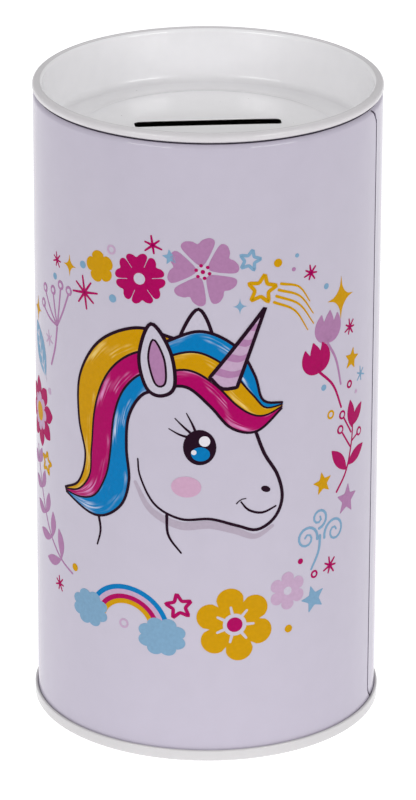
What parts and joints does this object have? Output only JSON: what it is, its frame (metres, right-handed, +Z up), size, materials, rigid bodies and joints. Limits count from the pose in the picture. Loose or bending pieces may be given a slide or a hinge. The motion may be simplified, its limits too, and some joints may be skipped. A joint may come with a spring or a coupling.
{
  "type": "tin money box",
  "caption": "Round printed tinplate money box with a seamed base, a rolled bead and a push-in lid whose sunk pan has a coin slot.",
  "frame": {"origin": "middle of the foot ring's underside, on the tin's axis", "axes": "+Z up along the tin's axis, -Y to the front of the printed pattern, +X to its right as the front is seen"},
  "size_m": [0.08, 0.08, 0.15],
  "materials": {
    "printed_tube": "tinplate printed pale lilac with a many-coloured pattern and varnished to a gloss",
    "white_enamel": "white gloss enamel on tinplate"
  },
  "bodies": {
    "tin": {"body_shell": "printed_tube", "base_end": "white_enamel"},
    "lid": {"lid": "white_enamel"}
  },
  "joints": [
    {"name": "lid_lift", "type": "slide", "parent": "tin", "child": "lid", "axis": [0, 0, 1], "range_m": [0, 0.03]}
  ]
}
